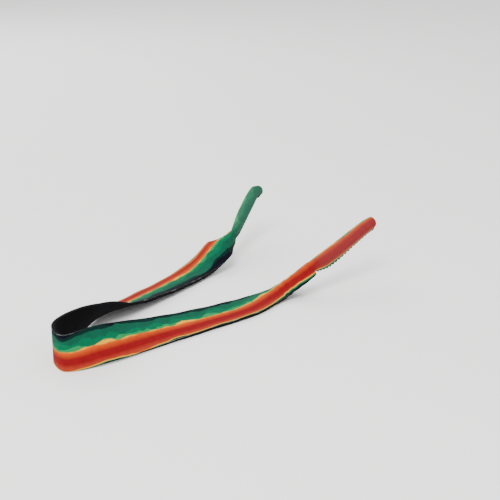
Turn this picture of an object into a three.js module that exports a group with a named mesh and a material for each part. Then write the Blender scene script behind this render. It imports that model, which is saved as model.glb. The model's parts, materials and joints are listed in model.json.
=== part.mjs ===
// A neoprene retainer strap for eyeglasses, standing on its edge as it lies behind a folded-out pair.
// One long strip of laminate (printed face fabric, foam core, jersey backing) has both ends folded
// lengthwise and overcast along the joined edges, which makes a sleeve at each end for a temple tip.
// Millimetres. +Z is up, +Y points from the nape towards the sleeve mouths, +X is the wearer's right.

import * as THREE from 'three';

// The strip.
const STRIP_WIDTH = 25.4;
const FACE_THICKNESS = 0.35;
const FOAM_THICKNESS = 1.3;
const BACKING_THICKNESS = 0.35;
const LAYER_GAP = 0.12;
const SKIN_SET_BACK = 0.25;

// The sleeves: the laminate is stretched round the bore and pressed thinner, more so at the mouth.
const SLEEVE_STRETCH = 1.07;
const MOUTH_STRETCH = 1.16;
const MOUTH_LENGTH = 9;
const SLEEVE_THINNING = 0.68;
const NOTCH_LENGTH = 3;

// The seam thread: one overcast stitch every pitch, from just inside the mouth to the notch.
const THREAD_DIAMETER = 0.5;
const STITCH_PITCH = 3.5;
const STITCH_BITE = 1.1;
const THREAD_CLEARANCE = 0.35;
const SEAM_END_MARGIN = 2;

// The gap left at each joint, so that neighbouring stretches can turn.
const JOINT_GAP = 3;

// How the strap lies. Each row is a place on the fold line, halfway across the strip, with the strip's
// roll there (0 has the print facing out of the loop, 90 has the fold line on top) and how far it is
// folded lengthwise (0 flat, 1 doubled). Rows run from the right mouth round the nape to the left mouth.
const LAY = [
  { at: [66.85, 134.44, 46.78], roll: 90, fold: 1 },
  { at: [66.85, 126.44, 45.58], roll: 90, fold: 1 },
  { at: [65.85, 98.44, 36.28], roll: 90, fold: 1 },
  { at: [62.85, 68.44, 25.68], roll: 90, fold: 1 },
  { at: [49.23, 44.94, 7.03], roll: 95, fold: 0.32 },
  { at: [52.53, 9.44, 3.39], roll: 85, fold: 0.05 },
  { at: [49.48, -30.56, 4.02], roll: 78, fold: 0 },
  { at: [47.03, -74.56, 7.45], roll: 62, fold: 0.03 },
  { at: [47.98, -116.56, 12.16], roll: 30, fold: 0.04 },
  { at: [43.35, -143.06, 12.88], roll: 0, fold: 0 },
  { at: [25.85, -139.06, 12.88], roll: 0, fold: 0 },
  { at: [14.35, -120.06, 12.88], roll: 6, fold: 0 },
  { at: [4.46, -90.09, 11.24], roll: 36, fold: 0.01 },
  { at: [-7.39, -57.49, 5.48], roll: 70, fold: 0 },
  { at: [-15.15, -23.56, 3.44], roll: 81, fold: 0 },
  { at: [-22.62, 11.43, 2.84], roll: 86, fold: 0.03 },
  { at: [-28.25, 37.78, 4.23], roll: 94, fold: 0 },
  { at: [-28.22, 62.15, 19.23], roll: 112, fold: 0.38 },
  { at: [-38.16, 86.4, 22.76], roll: 107, fold: 1 },
  { at: [-53.51, 112.93, 33.21], roll: 93, fold: 1 },
  { at: [-64.65, 136.99, 43.78], roll: 93, fold: 1 },
  { at: [-66.58, 144.82, 42.97], roll: 97, fold: 1 },
];
const RIGHT_NOTCH_ROW = 3;
const LEFT_NOTCH_ROW = 18;

// Distances along the strap at the two nape joints, and the longest step between sections.
const RIGHT_BEND_START = 281;
const LEFT_BEND_END = 333;
const SLEEVE_STEP = 8;
const RUN_STEP = 9;
const NAPE_STEP = 6;

// Half of the section, from the fold line to the edge. A sleeve runs round its bore and back out
// into a flat seam flange; each entry is one straight stretch of it and the angle it has turned.
const HALF_STEPS = [2.4, 2.4, 2.4, 2.4, 2.4, 1.6];
const SLEEVE_TURNS = [18, 55, 92, 129, 118, 90];
const FOLD_ZONE = 0.38;
const HALF_LENGTH = HALF_STEPS.reduce((sum, step) => sum + step, 0);

const UP = new THREE.Vector3(0, 0, 1);
const rowPlaces = LAY.map((row) => new THREE.Vector3(...row.at));
const rowDistances = [0];
for (let i = 1; i < LAY.length; i += 1) {
  rowDistances.push(rowDistances[i - 1] + rowPlaces[i].distanceTo(rowPlaces[i - 1]));
}
const STRAP_LENGTH = rowDistances[LAY.length - 1];
const RIGHT_NOTCH = rowDistances[RIGHT_NOTCH_ROW];
const LEFT_NOTCH = rowDistances[LEFT_NOTCH_ROW];

// A smooth value between the rows: a cubic whose slope at each row is that of its two neighbours.
function along(distance, read) {
  const last = LAY.length - 1;
  let i = 0;
  while (i < last - 1 && rowDistances[i + 1] <= distance) i += 1;
  const slope = (k) => {
    const a = Math.max(k - 1, 0);
    const b = Math.min(k + 1, last);
    return (read(LAY[b]) - read(LAY[a])) / (rowDistances[b] - rowDistances[a]);
  };
  const span = rowDistances[i + 1] - rowDistances[i];
  const u = (distance - rowDistances[i]) / span;
  const start = (2 * u ** 3 - 3 * u ** 2 + 1) * read(LAY[i]) + (u ** 3 - 2 * u ** 2 + u) * span * slope(i);
  const end = (3 * u ** 2 - 2 * u ** 3) * read(LAY[i + 1]) + (u ** 3 - u ** 2) * span * slope(i + 1);
  return start + end;
}

function placeAt(distance) {
  return new THREE.Vector3(...[0, 1, 2].map((axis) => along(distance, (row) => row.at[axis])));
}

// The strip's own directions at a distance: ahead along it, across it and out of its printed side.
function directionsAt(distance) {
  const before = placeAt(Math.max(distance - 0.5, 0));
  const ahead = placeAt(Math.min(distance + 0.5, STRAP_LENGTH)).sub(before).normalize();
  const level = new THREE.Vector3().crossVectors(UP, ahead).normalize();
  const upright = new THREE.Vector3().crossVectors(ahead, level);
  const roll = THREE.MathUtils.degToRad(along(distance, (row) => row.roll));
  const across = upright.clone().multiplyScalar(Math.cos(roll)).addScaledVector(level, -Math.sin(roll));
  const outward = level.clone().multiplyScalar(Math.cos(roll)).addScaledVector(upright, Math.sin(roll));
  return { ahead, across, outward };
}

// 1 in a sleeve, 0 along the open strip, with a quick change at each notch.
function sleeveShare(distance) {
  const past = Math.max(RIGHT_NOTCH - distance, distance - LEFT_NOTCH);
  return THREE.MathUtils.clamp(past / NOTCH_LENGTH + 1, 0, 1);
}

function stretchAt(distance) {
  const fromMouth = Math.min(distance, STRAP_LENGTH - distance);
  const flare = THREE.MathUtils.clamp(1 - fromMouth / MOUTH_LENGTH, 0, 1);
  const sleeve = SLEEVE_STRETCH + (MOUTH_STRETCH - SLEEVE_STRETCH) * flare;
  return THREE.MathUtils.lerp(1, sleeve, sleeveShare(distance));
}

// The middle line of one section as [across, outward] points with a unit normal and mitre each.
function sectionLine(distance, setBack) {
  const share = sleeveShare(distance);
  const fold = THREE.MathUtils.clamp(along(distance, (row) => row.fold), 0, 1);
  const scale = (STRIP_WIDTH / 2 / HALF_LENGTH) * stretchAt(distance);
  const half = [{ x: 0, y: 0, before: 0 }];
  let walked = 0;
  HALF_STEPS.forEach((step, i) => {
    const middle = (walked + step / 2) / HALF_LENGTH;
    const open = fold * 90 * Math.min(middle / FOLD_ZONE, 1);
    const turn = THREE.MathUtils.degToRad(THREE.MathUtils.lerp(open, SLEEVE_TURNS[i], share));
    const isEdge = i === HALF_STEPS.length - 1;
    const length = step * scale - (isEdge ? setBack : 0);
    const from = half[half.length - 1];
    from.after = turn;
    half.push({ x: from.x + Math.cos(turn) * length, y: from.y - Math.sin(turn) * length, before: turn });
    walked += step;
  });
  half[half.length - 1].after = half[half.length - 1].before;
  half[0].before = -half[0].after;
  const points = half.map(({ x, y, before, after }) => {
    const middle = (before + after) / 2;
    return { x, y, nx: Math.sin(middle), ny: Math.cos(middle), mitre: 1 / Math.cos((after - before) / 2) };
  });
  const mirrored = points.slice(1).reverse().map((p) => ({ ...p, x: -p.x, nx: -p.nx }));
  return [...mirrored, ...points];
}

function sectionPoint(place, directions, x, y) {
  return place.clone().addScaledVector(directions.across, x).addScaledVector(directions.outward, y);
}

// The layer's two surfaces at one distance, from the middle line out by the given offsets.
function sectionRing(distance, layer) {
  const place = placeAt(distance);
  const directions = directionsAt(distance);
  const thinning = THREE.MathUtils.lerp(1, SLEEVE_THINNING, sleeveShare(distance));
  const line = sectionLine(distance, layer.setBack);
  const surface = (offset) => line.map((p) => {
    const reach = offset * thinning * p.mitre;
    return sectionPoint(place, directions, p.x + p.nx * reach, p.y + p.ny * reach);
  });
  return [...surface(layer.outer), ...surface(layer.inner).reverse()];
}

// A closed skin through equal rings of points, with a strip of quads across each end. Both surfaces
// of a layer split their quads along the same diagonal, so that neighbouring layers stay parallel.
function loft(rings) {
  const count = rings[0].length;
  const corners = rings.flat().flatMap((p) => [p.x, p.y, p.z]);
  const faces = [];
  for (let r = 0; r + 1 < rings.length; r += 1) {
    for (let i = 0; i < count; i += 1) {
      const a = r * count + i;
      const b = r * count + ((i + 1) % count);
      if (i < count / 2) faces.push(a, b, b + count, a, b + count, a + count);
      else faces.push(a, b, a + count, b, b + count, a + count);
    }
  }
  const end = (rings.length - 1) * count;
  for (let i = 0; i < count / 2 - 1; i += 1) {
    const j = count - 1 - i;
    faces.push(i, j, i + 1, i + 1, j, j - 1);
    faces.push(end + i, end + i + 1, end + j, end + i + 1, end + j - 1, end + j);
  }
  const geometry = new THREE.BufferGeometry();
  geometry.setAttribute('position', new THREE.Float32BufferAttribute(corners, 3));
  geometry.setIndex(faces);
  return geometry;
}

function steps(from, to, longest) {
  const count = Math.ceil((to - from) / longest);
  return Array.from({ length: count + 1 }, (_, i) => from + ((to - from) * i) / count);
}

// The three layers, as offsets from the middle of the laminate, with the finish of each.
const HALF_FOAM = FOAM_THICKNESS / 2;
const LAYERS = [
  {
    name: 'face_fabric',
    outer: HALF_FOAM + LAYER_GAP + FACE_THICKNESS,
    inner: HALF_FOAM + LAYER_GAP,
    setBack: SKIN_SET_BACK,
    material: new THREE.MeshStandardMaterial({ color: 0xb5432c, roughness: 0.8, metalness: 0 }),
  },
  {
    name: 'foam_core',
    outer: HALF_FOAM,
    inner: -HALF_FOAM,
    setBack: 0,
    material: new THREE.MeshStandardMaterial({ color: 0x17171a, roughness: 0.95, metalness: 0 }),
  },
  {
    name: 'jersey_backing',
    outer: -HALF_FOAM - LAYER_GAP,
    inner: -HALF_FOAM - LAYER_GAP - BACKING_THICKNESS,
    setBack: SKIN_SET_BACK,
    material: new THREE.MeshStandardMaterial({ color: 0x111114, roughness: 0.9, metalness: 0 }),
  },
];
const threadMaterial = new THREE.MeshStandardMaterial({ color: 0xc9a468, roughness: 0.6, metalness: 0 });

const STRETCHES = [
  { name: 'right_sleeve', from: 0, to: RIGHT_NOTCH, step: SLEEVE_STEP },
  { name: 'right_run', from: RIGHT_NOTCH + JOINT_GAP, to: RIGHT_BEND_START, step: RUN_STEP },
  { name: 'nape', from: RIGHT_BEND_START + JOINT_GAP, to: LEFT_BEND_END, step: NAPE_STEP },
  { name: 'left_run', from: LEFT_BEND_END + JOINT_GAP, to: LEFT_NOTCH - JOINT_GAP, step: RUN_STEP },
  { name: 'left_sleeve', from: LEFT_NOTCH, to: STRAP_LENGTH, step: SLEEVE_STEP },
];

// One overcast stitch: up and back down one side of the seam flange, under its edge, then the same on
// the other side. Each entry is how far along the pitch it is, its side and its rise from the edge.
const UNDER_EDGE = -THREAD_CLEARANCE - THREAD_DIAMETER / 2;
const STITCH = [
  { lead: 0, side: 1, rise: 0 },
  { lead: 0.17, side: 1, rise: STITCH_BITE },
  { lead: 0.34, side: 1, rise: 0 },
  { lead: 0.4, side: 0.5, rise: UNDER_EDGE },
  { lead: 0.45, side: -0.5, rise: UNDER_EDGE },
  { lead: 0.5, side: -1, rise: 0 },
  { lead: 0.67, side: -1, rise: STITCH_BITE },
  { lead: 0.84, side: -1, rise: 0 },
  { lead: 0.9, side: -0.5, rise: UNDER_EDGE },
  { lead: 0.95, side: 0.5, rise: UNDER_EDGE },
];
const THREAD_SIDES = 4;

// A tube round a route with a corner at each point, whose section doesn't twist along it.
function tube(route, radius, sides) {
  let normal = new THREE.Vector3(1, 0, 0);
  const rings = route.map((point, i) => {
    const from = route[Math.max(i - 1, 0)];
    const to = route[Math.min(i + 1, route.length - 1)];
    const into = point.clone().sub(from).normalize();
    const ahead = to.clone().sub(point).normalize().add(into).normalize();
    normal = normal.clone().addScaledVector(ahead, -normal.dot(ahead)).normalize();
    const beside = new THREE.Vector3().crossVectors(ahead, normal);
    return Array.from({ length: sides }, (_, k) => {
      const angle = (k / sides) * Math.PI * 2;
      const turned = point.clone().addScaledVector(normal, Math.cos(angle) * radius);
      return turned.addScaledVector(beside, Math.sin(angle) * radius);
    });
  });
  return loft(rings);
}

function seamThread(from, to) {
  const cover = LAYERS[0].outer * SLEEVE_THINNING;
  const away = cover + THREAD_CLEARANCE + THREAD_DIAMETER / 2;
  const count = Math.floor((to - from) / STITCH_PITCH);
  const route = [];
  for (let i = 0; i < count; i += 1) {
    STITCH.forEach(({ lead, side, rise }) => {
      const distance = from + (i + lead) * STITCH_PITCH;
      const edge = sectionLine(distance, 0).at(-1);
      const x = side * (edge.x + away);
      route.push(sectionPoint(placeAt(distance), directionsAt(distance), x, edge.y + rise));
    });
  }
  return tube(route, THREAD_DIAMETER / 2, THREAD_SIDES);
}

const SEAMS = [
  { name: 'right_seam_thread', from: SEAM_END_MARGIN, to: RIGHT_NOTCH - SEAM_END_MARGIN },
  { name: 'left_seam_thread', from: LEFT_NOTCH + SEAM_END_MARGIN, to: STRAP_LENGTH - SEAM_END_MARGIN },
];

const strap = new THREE.Group();
STRETCHES.forEach((stretch) => {
  LAYERS.forEach((layer) => {
    const rings = steps(stretch.from, stretch.to, stretch.step).map((d) => sectionRing(d, layer));
    const piece = new THREE.Mesh(loft(rings), layer.material);
    piece.name = `${stretch.name}_${layer.name}`;
    strap.add(piece);
  });
});

SEAMS.forEach((seam) => {
  const thread = new THREE.Mesh(seamThread(seam.from, seam.to), threadMaterial);
  thread.name = seam.name;
  strap.add(thread);
});

export default strap;
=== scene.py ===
import json
from math import cos, e, pi, radians, sin

import bpy
import numpy as np
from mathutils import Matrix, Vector


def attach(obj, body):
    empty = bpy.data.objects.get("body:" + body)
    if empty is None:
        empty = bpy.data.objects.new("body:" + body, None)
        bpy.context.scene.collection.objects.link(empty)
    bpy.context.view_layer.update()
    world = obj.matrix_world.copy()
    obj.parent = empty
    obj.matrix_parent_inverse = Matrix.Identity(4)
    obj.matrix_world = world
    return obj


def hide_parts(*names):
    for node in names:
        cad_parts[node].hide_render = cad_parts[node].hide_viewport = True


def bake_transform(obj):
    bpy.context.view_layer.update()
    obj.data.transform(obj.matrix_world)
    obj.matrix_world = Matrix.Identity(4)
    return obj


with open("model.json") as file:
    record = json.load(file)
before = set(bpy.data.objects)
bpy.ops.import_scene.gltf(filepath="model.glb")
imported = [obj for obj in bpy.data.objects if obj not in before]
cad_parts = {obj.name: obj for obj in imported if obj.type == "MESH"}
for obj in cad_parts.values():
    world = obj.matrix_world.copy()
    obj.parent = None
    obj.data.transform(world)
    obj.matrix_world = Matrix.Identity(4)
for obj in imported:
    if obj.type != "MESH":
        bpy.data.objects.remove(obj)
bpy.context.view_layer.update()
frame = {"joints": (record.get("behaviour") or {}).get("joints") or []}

# A retainer strap for eyeglasses: one strip of printed foam laminate, sewn into a sleeve at each end.
# Shapes are worked out in millimetres and made in metres, in the frame's own place.

MM = 0.001

# The strip, and the surfaces of its layers as offsets from the middle of the laminate.
STRIP_WIDTH = 25.4
HALF_LAMINATE = 1.12
HALF_FOAM = 0.7
SKIN_LIFT = 0.02
FOAM_RIM_BULGE = 0.14

# The sleeves: widest some way past the notch, gathered at it, snug at the mouth. A notch is where
# a sleeve begins, and the loose strip is drawn in on its other side too.
NOTCH_STRETCH = 1.36
MOUTH_STRETCH = 0.98
GATHER_LENGTH = 10
DRAWN_IN = 0.12
DRAWN_IN_LENGTH = 18
SLEEVE_THINNING = 0.68
NOTCH_LENGTH = 3

# Past the temple tip the sleeve is slack and lies flatter, towards its notch.
SLACK_AT_NOTCH = 0.9
SLACK_LENGTH = 44
SLACK_FADE = 1.5
SLACK_FOLD_ZONE = 0.26

# Unevenness of the loose strip: waves of its edges, and creases where it doubles over.
EDGE_WAVE = 0.7
EDGE_WAVE_SCALES = (7.3, 11.9)
CREASE = 0.22
CREASE_PITCH = 7.1
CREASE_SLANT = 2.4
CREASED_LENGTH = 13
CREASES_BEFORE_RIGHT_NOTCH = 26
CREASES_BEFORE_LEFT_NOTCH = 20

# The seam along each sleeve. Its flange is pulled in by each stitch and nipped at the notch.
STITCH_PITCH = 3.5
SCALLOP_DEPTH = 1.0
NOTCH_NIP = 1.6
NOTCH_NIP_LENGTH = 1.4
MOST_PULLED_IN = 0.9
PUCKER = 0.13
PUCKER_PLACE = 0.72
PUCKER_WIDTH = 0.12
THREAD_DIAMETER = 0.42
STITCH_WIDTH = 4.0
STITCH_HEIGHT = 2.3
STITCH_SET_IN = 0.35
STITCH_LEAN = 0.5
STITCH_CORNER = 0.32
SEAM_END_MARGIN = 1.5

# How the strap lies: place on the fold line, roll, lengthwise fold; right mouth to left mouth.
LAY = np.array([
    (66.85, 134.44, 46.78, 90, 1),
    (66.85, 126.44, 45.58, 90, 1),
    (65.85, 98.44, 36.28, 90, 1),
    (62.85, 68.44, 25.68, 90, 1),
    (49.23, 44.94, 7.03, 95, 0.32),
    (52.53, 9.44, 3.39, 85, 0.05),
    (49.48, -30.56, 4.02, 78, 0),
    (47.03, -74.56, 7.45, 62, 0.03),
    (47.98, -116.56, 12.16, 30, 0.04),
    (43.35, -143.06, 12.88, 0, 0),
    (25.85, -139.06, 12.88, 0, 0),
    (14.35, -120.06, 12.88, 6, 0),
    (4.46, -90.09, 11.24, 36, 0.01),
    (-7.39, -57.49, 5.48, 70, 0),
    (-15.15, -23.56, 3.44, 81, 0),
    (-22.62, 11.43, 2.84, 86, 0.03),
    (-28.25, 37.78, 4.23, 94, 0),
    (-28.22, 62.15, 19.23, 112, 0.38),
    (-38.16, 86.4, 22.76, 107, 1),
    (-53.51, 112.93, 33.21, 93, 1),
    (-64.65, 136.99, 43.78, 93, 1),
    (-66.58, 144.82, 42.97, 97, 1),
], float)
RIGHT_NOTCH_ROW = 3
LEFT_NOTCH_ROW = 18

# Half of the section, from the fold line to the edge: the share walked and the angle turned there.
WALKED = np.array([0, 0.088, 0.265, 0.441, 0.618, 0.794, 0.941, 1.0])
SLEEVE_TURNS = np.array([0, 18, 55, 92, 129, 118, 90, 90])
FLANGE_START = 0.88
FLANGE_START_AT_NOTCH = 0.78
FLANGE_START_AT_MOUTH = 0.96
FLANGE_LEAST_FOR = 0.2
FOLD_ZONE = 0.38
FOLD_EASE = 9
FOLD_EASE_STEPS = 9

# The print's wandering lines: share across from the dark edge, swing, waves per metre and seed.
DARK_LINE = (0, 0.06, 42, 3.1)
TEAL_LINE = (0.08, 0.07, 44, 11.7)
GREEN_LINE = (0.29, 0.085, 62, 23.4)
LIGHT_LINE = (0.41, 0.065, 78, 77.3)
YELLOW_LINE = (0.487, 0.035, 85, 31.9)
ORANGE_LINE = (0.497, 0.022, 70, 47.2)
BORDER_LINE = (0.962, 0.03, 34, 5.5)
RED_PLACE = 0.60
LOW_ORANGE_PLACE = 0.875

# Distances along the strap, in metres, over which the print changes: where it all climbs towards
# the red edge, where its dark foot widens, partly as painted shade, and narrows again, and where the right
# end's colours turn.
PRINT_CLIMBS = (0.36, 0.50)
DARK_WIDENS = (0.36, 0.45)
DARK_NARROWS = (0.545, 0.575)
RIGHT_SLEEVE_ENDS = (0.062, 0.078)
RIGHT_END_FADES = (0.075, 0.13)
BORDER_GATHERS = (0.088, 0.04)
SLEEVE_FADES = (0.058, 0.074)

# The yellow crests of the print: metres between them, phase, share of each wave cut off, height.
CREST_SPACING = 0.071
CREST_PHASE = 1.9
CREST_CUT = 0.7
CREST_HEIGHT = 0.075

# Colours of the print, as dyed.
DARK = "060812"
DEEP_TEAL = "03211f"
TEAL_GREEN = "0c4b37"
GREEN = "075b3d"
LIGHT_GREEN = "1d7c45"
YELLOW = "de9a12"
ORANGE = "b8460f"
RED = "7a0f14"
LOW_ORANGE = "963320"
KNIT_GREY = "989894"

# Mesh steps along the strap, and the number of steps across each half of the strip.
RUN_STEP = 1.2
SLEEVE_STEP = 0.44
HALF_STEPS = 26
PATH_SAMPLES = 1200
SHARP_ANGLE = 50

row_steps = np.linalg.norm(np.diff(LAY[:, :3], axis=0), axis=1)
row_distances = np.concatenate([[0], np.cumsum(row_steps)])
STRAP_LENGTH = row_distances[-1]
RIGHT_NOTCH = row_distances[RIGHT_NOTCH_ROW]
LEFT_NOTCH = row_distances[LEFT_NOTCH_ROW]


# ---- Camera, floor and light -------------------------------------------------------------------

def set_camera():
    """A long lens, a little above the strap, looking across it from the nape's right side."""
    azimuth, elevation, distance = radians(45.1), radians(19.18), 0.9216
    target = Vector((-0.02326, 0.0904, 0.00875))
    back = Vector((sin(azimuth) * cos(elevation), -cos(azimuth) * cos(elevation), sin(elevation)))
    data = bpy.data.cameras.new("view")
    data.lens = 81.05
    data.sensor_width = 36
    camera = bpy.data.objects.new("view", data)
    bpy.context.scene.collection.objects.link(camera)
    camera.location = target + back * distance
    camera.rotation_euler = back.to_track_quat("Z", "Y").to_euler()
    bpy.context.scene.camera = camera


def add_light(name, place, aim, size, watts):
    data = bpy.data.lights.new(name, "AREA")
    data.shape = "DISK"
    data.size = size
    data.energy = watts
    light = bpy.data.objects.new(name, data)
    bpy.context.scene.collection.objects.link(light)
    light.location = place
    light.rotation_euler = (Vector(place) - Vector(aim)).to_track_quat("Z", "Y").to_euler()


def light_studio():
    world = bpy.data.worlds.new("studio")
    world.use_nodes = True
    background = world.node_tree.nodes["Background"]
    background.inputs["Color"].default_value = (1, 1, 1, 1)
    background.inputs["Strength"].default_value = 1.25
    bpy.context.scene.world = world
    add_light("key", (0.5, -0.9, 1.3), (0, 0, 0), 0.9, 30)
    add_light("fill", (-1.2, 0.3, 0.9), (0, 0, 0), 1.2, 12)


# ---- Node helpers ------------------------------------------------------------------------------

def node(tree, kind, inputs=None, **settings):
    made = tree.nodes.new(kind)
    for name, value in settings.items():
        setattr(made, name, value)
    for name, value in (inputs or {}).items():
        if isinstance(value, bpy.types.NodeSocket):
            tree.links.new(value, made.inputs[name])
        else:
            made.inputs[name].default_value = value
    return made


def calc(tree, operation, *values, clamp=False):
    made = node(tree, "ShaderNodeMath", dict(enumerate(values)), operation=operation)
    made.use_clamp = clamp
    return made.outputs[0]


def linear(code):
    """A six-figure colour code as linear red, green, blue, alpha."""
    parts = [int(code[i:i + 2], 16) / 255 for i in (0, 2, 4)]
    return [p / 12.92 if p <= 0.04045 else ((p + 0.055) / 1.055) ** 2.4 for p in parts] + [1]


def mix(tree, factor, first, second):
    values = {0: factor, 6: first, 7: second}
    return node(tree, "ShaderNodeMix", values, data_type="RGBA").outputs[2]


def new_material(name):
    material = bpy.data.materials.new(name)
    material.use_nodes = True
    tree = material.node_tree
    return material, tree, tree.nodes["Principled BSDF"]


def noise(tree, vector, scale, detail=2.0):
    values = {"Vector": vector, "Scale": scale, "Detail": detail}
    return node(tree, "ShaderNodeTexNoise", values).outputs["Fac"]


def set_bump(tree, shader, height, distance, strength=1.0):
    values = {"Height": height, "Distance": distance, "Strength": strength}
    tree.links.new(node(tree, "ShaderNodeBump", values).outputs[0], shader.inputs["Normal"])


def strap_coordinates(tree):
    """Distance along the strap in metres, and the share across it from the dark edge to the red one."""
    flat = node(tree, "ShaderNodeUVMap", uv_map="strap").outputs[0]
    parts = node(tree, "ShaderNodeSeparateXYZ", {0: flat})
    return parts.outputs[0], parts.outputs[1]


def knit_height(tree, along, across, wale, course):
    """The face of a jersey: columns of small V-shaped loops, wale and course in metres."""
    column = calc(tree, "MULTIPLY", across, STRIP_WIDTH * MM / wale)
    rib = calc(tree, "ABSOLUTE", calc(tree, "SINE", calc(tree, "MULTIPLY", column, pi)))
    lean = calc(tree, "PINGPONG", column, 0.5)
    row = calc(tree, "ADD", calc(tree, "DIVIDE", along, course), lean)
    loop = calc(tree, "ABSOLUTE", calc(tree, "SINE", calc(tree, "MULTIPLY", row, pi)))
    return calc(tree, "MULTIPLY", rib, calc(tree, "MULTIPLY_ADD", loop, 0.5, 0.5))


# ---- Materials ---------------------------------------------------------------------------------

def ridge(tree, along, base, swing, per_metre, seed):
    """A wandering line across the print: its share across, at each distance along."""
    place = calc(tree, "MULTIPLY_ADD", along, per_metre, seed)
    values = {"W": place, "Scale": 1.0, "Detail": 2.0, "Roughness": 0.45}
    wander = node(tree, "ShaderNodeTexNoise", values, noise_dimensions="1D").outputs["Fac"]
    return calc(tree, "MULTIPLY_ADD", wander, 4 * swing, base - 2 * swing)


def beyond(tree, across, line, softness):
    """0 on the dark side of a line, 1 past it."""
    past = calc(tree, "SUBTRACT", across, line)
    return calc(tree, "MULTIPLY_ADD", past, 1 / softness, 0.5, clamp=True)


def ramp_between(tree, value, low, high):
    """A smooth rise from 0 at one value to 1 at another."""
    values = {"Value": value, "From Min": low, "From Max": high}
    return node(tree, "ShaderNodeMapRange", values, interpolation_type="SMOOTHSTEP").outputs[0]


def bell(tree, along, centre, width):
    """1 at a distance along the strap, falling smoothly to 0 a width away on either side."""
    offset = calc(tree, "MULTIPLY_ADD", along, 1 / width, -centre / width)
    square = calc(tree, "MULTIPLY", offset, offset)
    return calc(tree, "POWER", e, calc(tree, "MULTIPLY", square, -2.5))


def print_lines(tree, along):
    """Where each colour of the print begins across the strip, how softly, and the colour."""
    shift = calc(tree, "MULTIPLY", ramp_between(tree, along, *PRINT_CLIMBS), 0.17)
    # Over the far run the dark foot widens: partly the print's navy edge, partly painted shade.
    dark_rise = ramp_between(tree, along, *DARK_WIDENS)
    dark_fall = ramp_between(tree, along, *DARK_NARROWS)
    dark_base = calc(tree, "MULTIPLY_ADD", dark_rise, 0.12, 0.03)
    dark_base = calc(tree, "MULTIPLY_ADD", dark_fall, -0.05, dark_base)
    dark_line = calc(tree, "ADD", dark_base, ridge(tree, along, *DARK_LINE))
    teal_line = calc(tree, "ADD", dark_base, ridge(tree, along, *TEAL_LINE))
    green_line = calc(tree, "ADD", shift, ridge(tree, along, *GREEN_LINE))
    light_line = calc(tree, "ADD", shift, ridge(tree, along, *LIGHT_LINE))

    wave = calc(tree, "MULTIPLY_ADD", along, 2 * pi / CREST_SPACING, CREST_PHASE)
    kept = 1 - CREST_CUT
    crest = calc(tree, "MULTIPLY_ADD", calc(tree, "COSINE", wave), 1 / kept, -CREST_CUT / kept, clamp=True)
    crest_rise = calc(tree, "MULTIPLY", calc(tree, "POWER", crest, 0.6), CREST_HEIGHT)
    yellow_base = calc(tree, "ADD", shift, ridge(tree, along, *YELLOW_LINE))
    yellow_line = calc(tree, "SUBTRACT", yellow_base, crest_rise)
    orange_line = calc(tree, "ADD", shift, ridge(tree, along, *ORANGE_LINE))

    in_sleeve = calc(tree, "SUBTRACT", 1.0, ramp_between(tree, along, *RIGHT_SLEEVE_ENDS))
    red_place = calc(tree, "MULTIPLY_ADD", in_sleeve, -0.075, calc(tree, "ADD", shift, RED_PLACE))
    right_end = calc(tree, "SUBTRACT", 1.0, ramp_between(tree, along, *RIGHT_END_FADES))
    low_place = calc(tree, "MULTIPLY_ADD", right_end, -0.02, LOW_ORANGE_PLACE)

    gather = bell(tree, along, *BORDER_GATHERS)
    border = calc(tree, "MULTIPLY_ADD", in_sleeve, -0.05, ridge(tree, along, *BORDER_LINE))
    border = calc(tree, "MULTIPLY_ADD", gather, -0.10, border)
    border_green = calc(tree, "MULTIPLY_ADD", gather, 0.012, calc(tree, "ADD", border, 0.02))
    border_green = calc(tree, "MULTIPLY_ADD", in_sleeve, -0.008, border_green)
    border_dark = calc(tree, "MULTIPLY_ADD", gather, 0.03, calc(tree, "ADD", border_green, 0.024))
    border_dark = calc(tree, "MULTIPLY_ADD", in_sleeve, 0.03, border_dark)
    return [
        (dark_line, 0.02, DEEP_TEAL),
        (teal_line, 0.02, TEAL_GREEN),
        (green_line, 0.02, GREEN),
        (light_line, 0.02, LIGHT_GREEN),
        (yellow_line, 0.022, YELLOW),
        (orange_line, 0.05, ORANGE),
        (red_place, 0.16, RED),
        (low_place, 0.13, LOW_ORANGE),
        (border, 0.03, YELLOW),
        (border_green, 0.02, GREEN),
        (border_dark, 0.015, DARK),
    ]


def printed_fabric():
    """Dyed-through print of soft hills: dark, greens, a yellow crest, then orange to red."""
    material, tree, shader = new_material("printed_fabric")
    along, across = strap_coordinates(tree)
    colour = linear(DARK)
    for line, softness, code in print_lines(tree, along):
        colour = mix(tree, beyond(tree, across, line, softness), colour, linear(code))

    # Over a sleeve the stretched knit opens, and the print pales a little.
    to_left_mouth = calc(tree, "SUBTRACT", STRAP_LENGTH * MM, along)
    to_mouth = calc(tree, "MINIMUM", along, to_left_mouth)
    stretched = calc(tree, "SUBTRACT", 1.0, ramp_between(tree, to_mouth, *SLEEVE_FADES))
    place = node(tree, "ShaderNodeTexCoord").outputs["Object"]
    mottle = calc(tree, "MULTIPLY_ADD", noise(tree, place, 260, 4), 0.5, 0.75)
    lift = calc(tree, "MULTIPLY_ADD", stretched, 0.04, mottle)
    values = {"Value": lift, "Color": colour}
    colour = node(tree, "ShaderNodeHueSaturation", values).outputs[0]
    colour = mix(tree, calc(tree, "MULTIPLY", stretched, 0.05), colour, linear(KNIT_GREY))
    tree.links.new(colour, shader.inputs["Base Color"])
    shader.inputs["Roughness"].default_value = 0.8
    shader.inputs["Specular IOR Level"].default_value = 0.06
    set_bump(tree, shader, knit_height(tree, along, across, 0.0006, 0.0005), 0.00006, 0.6)
    return material


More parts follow.
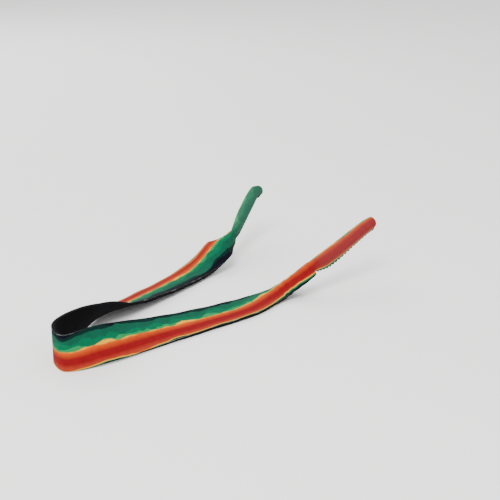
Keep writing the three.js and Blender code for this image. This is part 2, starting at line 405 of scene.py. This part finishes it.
def raw_knit_edge():
    """The cut edge of the printed fabric, where the undyed core of its yarn shows."""
    material, tree, shader = new_material("raw_knit_edge")
    place = node(tree, "ShaderNodeTexCoord").outputs["Object"]
    grain = noise(tree, place, 900, 3)
    patches = calc(tree, "MULTIPLY_ADD", noise(tree, place, 160, 1), 4.0, -1.9, clamp=True)
    fibre = mix(tree, grain, linear("626c66"), linear("9aa39c"))
    tree.links.new(mix(tree, patches, linear("141c1c"), fibre), shader.inputs["Base Color"])
    shader.inputs["Roughness"].default_value = 0.9
    set_bump(tree, shader, grain, 0.00008)
    return material


def black_foam():
    """Closed-cell foam, cut across its cells at the edges."""
    material, tree, shader = new_material("black_foam")
    place = node(tree, "ShaderNodeTexCoord").outputs["Object"]
    cells = node(tree, "ShaderNodeTexVoronoi", {"Vector": place, "Scale": 3200.0}).outputs["Distance"]
    shade = mix(tree, cells, linear("050506"), linear("101014"))
    tree.links.new(shade, shader.inputs["Base Color"])
    shader.inputs["Roughness"].default_value = 0.93
    shader.inputs["Specular IOR Level"].default_value = 0.08
    set_bump(tree, shader, cells, 0.0001)
    return material


def black_jersey():
    """The plain knit on the strap's inner side, with a little lint."""
    material, tree, shader = new_material("black_jersey")
    along, across = strap_coordinates(tree)
    place = node(tree, "ShaderNodeTexCoord").outputs["Object"]
    lint = noise(tree, place, 420, 5)
    tree.links.new(mix(tree, lint, linear("040405"), linear("0d0d11")), shader.inputs["Base Color"])
    shader.inputs["Roughness"].default_value = 0.86
    shader.inputs["Specular IOR Level"].default_value = 0.06
    set_bump(tree, shader, knit_height(tree, along, across, 0.0007, 0.0006), 0.00008, 0.7)
    return material


def seam_thread():
    """Twisted sewing thread in a straw colour."""
    material, tree, shader = new_material("seam_thread")
    place = node(tree, "ShaderNodeTexCoord").outputs["Object"]
    values = {"Vector": place, "Scale": 900.0, "Distortion": 1.5, "Detail": 1.0}
    twist = node(tree, "ShaderNodeTexWave", values, bands_direction="DIAGONAL").outputs["Fac"]
    tree.links.new(mix(tree, twist, linear("8a6f35"), linear("c8a862")), shader.inputs["Base Color"])
    shader.inputs["Roughness"].default_value = 0.6
    shader.inputs["Sheen Weight"].default_value = 0.2
    set_bump(tree, shader, twist, 0.00008)
    return material


def pale_floor():
    material, tree, shader = new_material("pale_floor")
    place = node(tree, "ShaderNodeTexCoord").outputs["Object"]
    shade = mix(tree, noise(tree, place, 3, 2), linear("fafaf9"), linear("fdfdfc"))
    tree.links.new(shade, shader.inputs["Base Color"])
    shader.inputs["Roughness"].default_value = 0.9
    return material


# ---- The strap's path and section --------------------------------------------------------------

def along_rows(distances, values):
    """Values between the rows: a cubic whose slope at each row is that of its two neighbours."""
    last = len(values) - 1
    before = np.maximum(np.arange(last + 1) - 1, 0)
    after = np.minimum(np.arange(last + 1) + 1, last)
    shape = (-1,) + (1,) * (values.ndim - 1)
    reach = (row_distances[after] - row_distances[before]).reshape(shape)
    slopes = (values[after] - values[before]) / reach
    i = np.clip(np.searchsorted(row_distances, distances, side="right") - 1, 0, last - 1)
    span = (row_distances[i + 1] - row_distances[i]).reshape(shape)
    u = (distances - row_distances[i]).reshape(shape) / span
    start = (2 * u**3 - 3 * u**2 + 1) * values[i] + (u**3 - 2 * u**2 + u) * span * slopes[i]
    end = (3 * u**2 - 2 * u**3) * values[i + 1] + (u**3 - u**2) * span * slopes[i + 1]
    return start + end


def unit(vectors):
    return vectors / np.linalg.norm(vectors, axis=1)[:, None]


def directions_at(distances):
    """Ahead along the strap, across it towards the dark edge, and out of its printed side."""
    after = along_rows(np.minimum(distances + 0.5, STRAP_LENGTH), LAY[:, :3])
    before = along_rows(np.maximum(distances - 0.5, 0), LAY[:, :3])
    ahead = unit(after - before)
    level = unit(np.cross([0, 0, 1], ahead))
    upright = np.cross(ahead, level)
    roll = np.radians(along_rows(distances, LAY[:, 3]))[:, None]
    across = np.cos(roll) * upright - np.sin(roll) * level
    outward = np.cos(roll) * level + np.sin(roll) * upright
    return ahead, across, outward


def eased(share):
    return share * share * (3 - 2 * share)


def swell(offsets, width):
    """1 at no offset, falling away over a width on either side."""
    return np.exp(-((offsets / width) ** 2))


def sleeve_share(distances):
    """0 on the loose strip, 1 from the notch to the mouth."""
    past = np.maximum(RIGHT_NOTCH - distances, distances - LEFT_NOTCH)
    return eased(np.clip(past / NOTCH_LENGTH + 1, 0, 1))


def from_mouth(distances):
    return np.minimum(distances, STRAP_LENGTH - distances)


def past_notch(distances):
    """How far into a sleeve, and below 0 on the loose strip."""
    return RIGHT_NOTCH - from_mouth(distances)


def stretch_at(distances):
    """The strip's width at each distance, as a share of its cut width."""
    sleeve = MOUTH_STRETCH + (NOTCH_STRETCH - MOUTH_STRETCH) * from_mouth(distances) / RIGHT_NOTCH
    gathered = swell(past_notch(distances), GATHER_LENGTH)
    sleeve = sleeve + (MOUTH_STRETCH - sleeve) * gathered
    drawn_in = DRAWN_IN * swell(past_notch(distances), DRAWN_IN_LENGTH)
    return (1 + (sleeve - 1) * sleeve_share(distances)) * (1 - drawn_in)


def tooth(distances):
    """1 where a stitch pulls the seam's edge in, 0 at the middle of the lobe between two."""
    return 1 - np.abs(np.sin(pi * from_mouth(distances) / STITCH_PITCH))


def ripples(distances, t):
    """Small waves of the loose edges, and creases where the strip doubles over before a sleeve."""
    d = distances[:, None]
    short, long = EDGE_WAVE_SCALES
    edge_wave = EDGE_WAVE * (0.5 + 0.5 * np.sin(d / short) * np.cos(d / long)) * t[None, :] ** 2
    right = swell(d - RIGHT_NOTCH - CREASES_BEFORE_RIGHT_NOTCH, CREASED_LENGTH)
    left = swell(d - LEFT_NOTCH + CREASES_BEFORE_LEFT_NOTCH, CREASED_LENGTH)
    crease = np.sin(2 * pi * d / CREASE_PITCH + CREASE_SLANT * t[None, :])
    return edge_wave + CREASE * (right + left) * crease


def fold_at(distances):
    """How far the edges are doubled over, eased so that the loose edges leave in round shoulders."""
    shifts = np.linspace(-FOLD_EASE, FOLD_EASE, FOLD_EASE_STEPS)
    near = [np.clip(distances + shift, 0, STRAP_LENGTH) for shift in shifts]
    return np.mean([np.clip(along_rows(at, LAY[:, 4]), 0, 1) for at in near], axis=0)


def flange_start(distances):
    """The share of each half walked from the fold line to the seam: the flange is the rest."""
    inward = from_mouth(distances) / RIGHT_NOTCH
    rise = eased(np.clip((inward - FLANGE_LEAST_FOR) / (1 - FLANGE_LEAST_FOR), 0, 1))
    return FLANGE_START_AT_MOUTH + (FLANGE_START_AT_NOTCH - FLANGE_START_AT_MOUTH) * rise


def both_halves(values, sign):
    """One half of the section, from fold line to edge, with its mirror image before it."""
    return np.concatenate([sign * values[:, :0:-1], values], axis=1)


def section_lines(distances):
    """The middle line of the section at each distance: points and unit normals, edge to edge."""
    t = np.linspace(0, 1, HALF_STEPS + 1)
    middle = (t[1:] + t[:-1]) / 2
    share = sleeve_share(distances)[:, None]
    fold = fold_at(distances)[:, None]
    flange = flange_start(distances)[:, None]
    from_notch = past_notch(distances)[:, None]
    slack = SLACK_AT_NOTCH * np.clip(1 - from_notch / SLACK_LENGTH, 0, 1) ** SLACK_FADE

    def turns(at):
        opened = fold * 90 * np.minimum(at / FOLD_ZONE, 1)
        round_tube = at * FLANGE_START / flange
        past_seam = FLANGE_START + (at - flange) * (1 - FLANGE_START) / (1 - flange)
        closed = np.interp(np.where(at < flange, round_tube, past_seam), WALKED, SLEEVE_TURNS)
        closed = closed + (90 * np.minimum(at / SLACK_FOLD_ZONE, 1) - closed) * slack
        return np.radians((1 - share) * opened + share * closed)

    step = np.diff(t)[None, :] * (STRIP_WIDTH / 2) * stretch_at(distances)[:, None]
    pull = SCALLOP_DEPTH * tooth(distances)[:, None] + NOTCH_NIP * swell(from_notch, NOTCH_NIP_LENGTH)
    pulled = np.minimum(share * pull / (STRIP_WIDTH / 2 * (1 - flange)), MOST_PULLED_IN)
    step = step * np.where(middle > flange, 1 - pulled, 1)
    turn = turns(middle)
    zero = np.zeros((len(distances), 1))
    x = np.concatenate([zero, np.cumsum(np.cos(turn) * step, axis=1)], axis=1)
    y = np.concatenate([zero, -np.cumsum(np.sin(turn) * step, axis=1)], axis=1)
    facing = turns(t)
    near_seam = swell(t - PUCKER_PLACE, PUCKER_WIDTH)[None, :]
    dent = -PUCKER * share * near_seam * tooth(distances)[:, None]
    x = x + np.sin(facing) * dent
    y = y + np.cos(facing) * dent + ripples(distances, t) * (1 - share)
    return (both_halves(x, -1), both_halves(y, 1),
            both_halves(np.sin(facing), -1), both_halves(np.cos(facing), 1))


def surface_points(distances, offset):
    """One surface of a layer, at an offset from the middle of the laminate."""
    x, y, nx, ny = section_lines(distances)
    ahead, across, outward = directions_at(distances)
    place = along_rows(distances, LAY[:, :3])
    reach = offset * (1 + (SLEEVE_THINNING - 1) * sleeve_share(distances))[:, None]
    x = x + nx * reach
    y = y + ny * reach
    return place[:, None] + x[..., None] * across[:, None] + y[..., None] * outward[:, None]


def steps_between(start, end):
    """Distances along the strap, closer together in a sleeve."""
    stops = [start]
    while stops[-1] < end:
        close = from_mouth(stops[-1]) < RIGHT_NOTCH + 8
        stops.append(stops[-1] + (SLEEVE_STEP if close else RUN_STEP))
    stops = np.array(stops)
    return start + (stops - start) * (end - start) / (stops[-1] - start)


# ---- Meshes ------------------------------------------------------------------------------------

def mesh_object(name, points, faces, materials):
    """A smooth-shaded object from points in millimetres."""
    mesh = bpy.data.meshes.new(name)
    mesh.from_pydata((np.asarray(points) * MM).tolist(), [], faces)
    for material in materials:
        mesh.materials.append(material)
    mesh.polygons.foreach_set("use_smooth", [True] * len(mesh.polygons))
    piece = bpy.data.objects.new(name, mesh)
    bpy.context.scene.collection.objects.link(piece)
    return piece


def layer_piece(name, start, end, outer, inner, rim_bulge, materials):
    """One layer of the laminate between two distances, closed all round, with its own flat map."""
    distances = steps_between(start, end)
    top = surface_points(distances, outer)
    bottom = surface_points(distances, inner)
    middle = (top + bottom) / 2
    low_rim = middle[:, 0] + unit(middle[:, 0] - middle[:, 1]) * rim_bulge
    high_rim = middle[:, -1] + unit(middle[:, -1] - middle[:, -2]) * rim_bulge
    rings = np.concatenate([top, high_rim[:, None], bottom[:, ::-1], low_rim[:, None]], axis=1)
    wide = top.shape[1]
    count = rings.shape[1]
    share = np.linspace(1, 0, wide)
    ring_share = np.concatenate([share, [0], share[::-1], [1]])
    r, i = np.meshgrid(np.arange(len(rings) - 1), np.arange(count), indexing="ij")
    a = r * count + i
    b = r * count + (i + 1) % count
    sides = np.stack([a, b, b + count, a + count], axis=-1).reshape(-1, 4)
    i = np.arange(wide - 1)
    j = 2 * wide - i
    first = np.stack([i, j, j - 1, i + 1], axis=-1)
    last = first[:, ::-1] + (len(rings) - 1) * count
    tips = [[0, count - 1, count - 2], [wide - 1, wide + 1, wide]]
    end_tips = [[v + (len(rings) - 1) * count for v in tip[::-1]] for tip in tips]
    faces = sides.tolist() + first.tolist() + last.tolist() + tips + end_tips
    piece = mesh_object(name, rings.reshape(-1, 3), faces, materials)
    mesh = piece.data
    rim = np.isin(np.tile(np.arange(count), len(rings) - 1), [wide - 1, wide, count - 2, count - 1])
    cut = np.concatenate([rim, np.ones(len(faces) - len(rim), bool)])
    mesh.polygons.foreach_set("material_index", np.where(cut, len(materials) - 1, 0).astype(np.int32))
    corner = np.empty(len(mesh.loops), np.int32)
    mesh.loops.foreach_get("vertex_index", corner)
    flat = np.stack([np.repeat(distances * MM, count), np.tile(ring_share, len(rings))], axis=-1)
    mesh.uv_layers.new(name="strap").data.foreach_set("uv", flat[corner].astype(np.float32).ravel())
    mesh.set_sharp_from_angle(angle=radians(SHARP_ANGLE))
    return piece


# ---- The seam thread ---------------------------------------------------------------------------

def socket_id(tree, name):
    return next(item.identifier for item in tree.interface.items_tree if item.name == name)


def read_vector(tree, name):
    values = {"Name": name}
    return node(tree, "GeometryNodeInputNamedAttribute", values, data_type="FLOAT_VECTOR").outputs[0]


def overcast_tree(material):
    """Thread loops round the seam flange, one on each point, leaning to one side and the other."""
    tree = bpy.data.node_groups.new("overcast_stitches", "GeometryNodeTree")
    face = tree.interface
    face.new_socket("Geometry", in_out="OUTPUT", socket_type="NodeSocketGeometry")
    face.new_socket("Geometry", in_out="INPUT", socket_type="NodeSocketGeometry")
    for name in ("Loop Width", "Loop Height", "Thread Radius", "Lean"):
        face.new_socket(name, in_out="INPUT", socket_type="NodeSocketFloat")
    given = tree.nodes.new("NodeGroupInput").outputs
    loop = node(tree, "GeometryNodeCurvePrimitiveQuadrilateral",
                {"Width": given["Loop Width"], "Height": given["Loop Height"]})
    corner = calc(tree, "MULTIPLY", given["Loop Width"], STITCH_CORNER)
    rounded = node(tree, "GeometryNodeFilletCurve", {"Curve": loop.outputs[0], "Radius": corner},
                   mode="POLY")
    rounded.inputs["Count"].default_value = 4
    round_profile = node(tree, "GeometryNodeCurvePrimitiveCircle",
                         {"Resolution": 8, "Radius": given["Thread Radius"]})
    thread = node(tree, "GeometryNodeCurveToMesh",
                  {"Curve": rounded.outputs[0], "Profile Curve": round_profile.outputs[0]})
    axes = {"Primary Axis": read_vector(tree, "ahead"), "Secondary Axis": read_vector(tree, "across")}
    turned = node(tree, "FunctionNodeAxesToRotation", axes, primary_axis="Z", secondary_axis="X")
    side = node(tree, "GeometryNodeInputNamedAttribute", {"Name": "side"}, data_type="FLOAT")
    lean = calc(tree, "MULTIPLY", side.outputs[0], given["Lean"])
    tilt = node(tree, "ShaderNodeCombineXYZ", {"X": lean})
    leaned = node(tree, "FunctionNodeRotateRotation",
                  {"Rotation": turned.outputs[0], "Rotate By": tilt.outputs[0]}, rotation_space="LOCAL")
    points = node(tree, "GeometryNodeMeshToPoints", {"Mesh": given["Geometry"]})
    stitches = node(tree, "GeometryNodeInstanceOnPoints",
                    {"Points": points.outputs[0], "Instance": thread.outputs[0],
                     "Rotation": leaned.outputs[0]})
    real = node(tree, "GeometryNodeRealizeInstances", {"Geometry": stitches.outputs[0]})
    smooth = node(tree, "GeometryNodeSetShadeSmooth", {"Geometry": real.outputs[0]})
    finish = node(tree, "GeometryNodeSetMaterial", {"Geometry": smooth.outputs[0]})
    finish.inputs["Material"].default_value = material
    output = tree.nodes.new("NodeGroupOutput")
    tree.links.new(finish.outputs[0], output.inputs[0])
    return tree


def seam_stitches(name, start, end, tree):
    """The overcast stitches of one sleeve, two to each lobe of the seam's edge."""
    count = int((end - start) / (STITCH_PITCH / 2))
    distances = start + np.arange(count + 1) * STITCH_PITCH / 2
    depth = section_lines(distances)[1]
    ahead, across, outward = directions_at(distances)
    place = along_rows(distances, LAY[:, :3])
    centre = depth[:, -1] + STITCH_SET_IN
    points = place + outward * centre[:, None]
    seed = mesh_object(name + "_seed", points, [], [])
    for label, vectors in (("ahead", ahead), ("across", across)):
        attribute = seed.data.attributes.new(label, "FLOAT_VECTOR", "POINT")
        attribute.data.foreach_set("vector", vectors.astype(np.float32).ravel())
    side = seed.data.attributes.new("side", "FLOAT", "POINT")
    side.data.foreach_set("value", np.where(np.arange(count + 1) % 2, 1.0, -1.0).astype(np.float32))
    modifier = seed.modifiers.new("stitches", "NODES")
    modifier.node_group = tree
    sizes = {"Loop Width": STITCH_WIDTH, "Loop Height": STITCH_HEIGHT, "Thread Radius": THREAD_DIAMETER / 2}
    for label, size in sizes.items():
        modifier[socket_id(tree, label)] = size * MM
    modifier[socket_id(tree, "Lean")] = STITCH_LEAN
    bpy.context.view_layer.update()
    evaluated = seed.evaluated_get(bpy.context.evaluated_depsgraph_get())
    mesh = bpy.data.meshes.new_from_object(evaluated)
    mesh.name = name
    piece = bpy.data.objects.new(name, mesh)
    bpy.context.scene.collection.objects.link(piece)
    bpy.data.objects.remove(seed)
    return piece


# ---- Assembly ----------------------------------------------------------------------------------

joint_places = {joint["name"]: Vector(joint["pos_m"]) for joint in frame["joints"]}


def nearest_distance(place):
    """The distance along the strap that passes closest to a place, seen from above."""
    distances = np.linspace(0, STRAP_LENGTH, PATH_SAMPLES)
    gaps = np.linalg.norm(along_rows(distances, LAY[:, :3])[:, :2] * MM - np.array(place)[:2], axis=1)
    return distances[gaps.argmin()]


joint_distances = {name: nearest_distance(place) for name, place in joint_places.items()}
right_run_middle = (joint_distances["right_sleeve_swing"] + joint_distances["right_nape_bend"]) / 2
nape_middle = (joint_distances["right_nape_bend"] + joint_distances["left_nape_bend"]) / 2
left_run_middle = (joint_distances["left_nape_bend"] + joint_distances["left_sleeve_swing"]) / 2

# Each part of the strap crosses one joint: its name, ends, joint, the two bodies in order along the
# strap, the hold of its fabric and the frame's solids that it stands for.
PARTS = [
    ("right_sleeve", 0, right_run_middle, "right_sleeve_swing", "right_sleeve", "right_run",
     "folded", ["right_sleeve", "right_run"]),
    ("right_bend", right_run_middle, nape_middle, "right_nape_bend", "right_run", "nape",
     "laid", ["nape"]),
    ("left_bend", nape_middle, left_run_middle, "left_nape_bend", "nape", "left_run",
     "laid", ["left_run"]),
    ("left_sleeve", left_run_middle, STRAP_LENGTH, "left_sleeve_swing", "left_run", "left_sleeve",
     "folded", ["left_sleeve"]),
]


def join_bodies(piece):
    """Bakes the piece's placement into its mesh."""
    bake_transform(piece)


def build_strap():
    """Foam core, printed face and jersey lining of each part, cut from the one strip."""
    print_face, raw_edge = printed_fabric(), raw_knit_edge()
    foam, jersey = black_foam(), black_jersey()
    for name, start, end, joint, first, second, held, stands_for in PARTS:
        core = layer_piece(f"{name}_core", start, end, HALF_FOAM, -HALF_FOAM, FOAM_RIM_BULGE, [foam])
        face = layer_piece(f"{name}_print", start, end, HALF_LAMINATE, HALF_FOAM + SKIN_LIFT, 0.0,
                           [print_face, raw_edge])
        back = layer_piece(f"{name}_lining", start, end, -HALF_FOAM - SKIN_LIFT, -HALF_LAMINATE, 0.0,
                           [jersey])
        for piece, layer, slot in ((core, "foam_core", "foam"), (face, "face_fabric", "printed_fabric"),
                                   (back, "jersey_backing", "backing_jersey")):
            join_bodies(piece)
            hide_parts(*[f"{stretch}_{layer}" for stretch in stands_for])


def build_seams():
    tree = overcast_tree(seam_thread())
    for side, start, end in (("right", SEAM_END_MARGIN, RIGHT_NOTCH - SEAM_END_MARGIN),
                             ("left", LEFT_NOTCH + SEAM_END_MARGIN, STRAP_LENGTH - SEAM_END_MARGIN)):
        stitches = seam_stitches(f"{side}_sleeve_stitches", start, end, tree)
        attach(stitches, f"{side}_sleeve")
        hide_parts(f"{side}_seam_thread")


def build_floor():
    reach = 3.0
    corners = [(-reach, -reach, 0), (reach, -reach, 0), (reach, reach, 0), (-reach, reach, 0)]
    floor = mesh_object("floor", np.array(corners) / MM, [[0, 1, 2, 3]], [pale_floor()])


set_camera()
light_studio()
build_floor()
build_strap()
build_seams()

bpy.context.view_layer.update()
